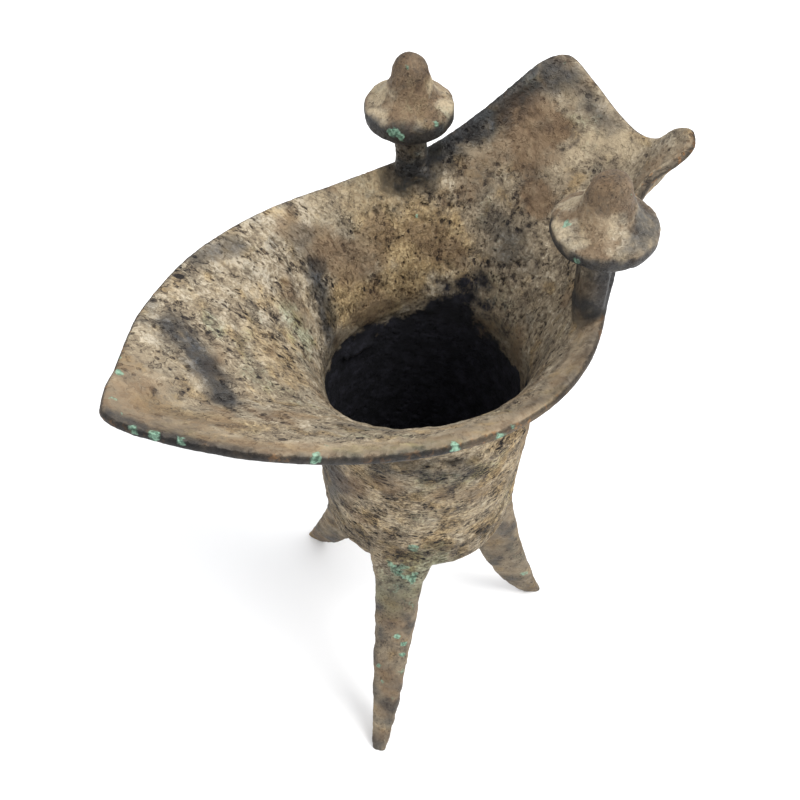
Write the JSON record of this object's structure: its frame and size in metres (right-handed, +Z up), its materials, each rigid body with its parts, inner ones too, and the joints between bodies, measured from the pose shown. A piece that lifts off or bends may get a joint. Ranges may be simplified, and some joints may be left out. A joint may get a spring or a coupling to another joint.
{
  "type": "bronze jue",
  "caption": "Ancient bronze jue: a tripod wine vessel with a spout, a pointed tail, capped posts and a strap handle, under a sandy, green-flecked patina.",
  "frame": {"origin": "centre of the bounding box in X and Y, at the level of the feet", "axes": "+Z up, +X toward the spout, -X toward the pointed tail, +Y toward the handle"},
  "size_m": [0.1722, 0.1012, 0.196],
  "materials": {
    "bronze": "old cast bronze under a sandy dirt crust with green corrosion spots"
  },
  "bodies": {
    "root": {"bronze_jue": "bronze"}
  },
  "joints": []
}
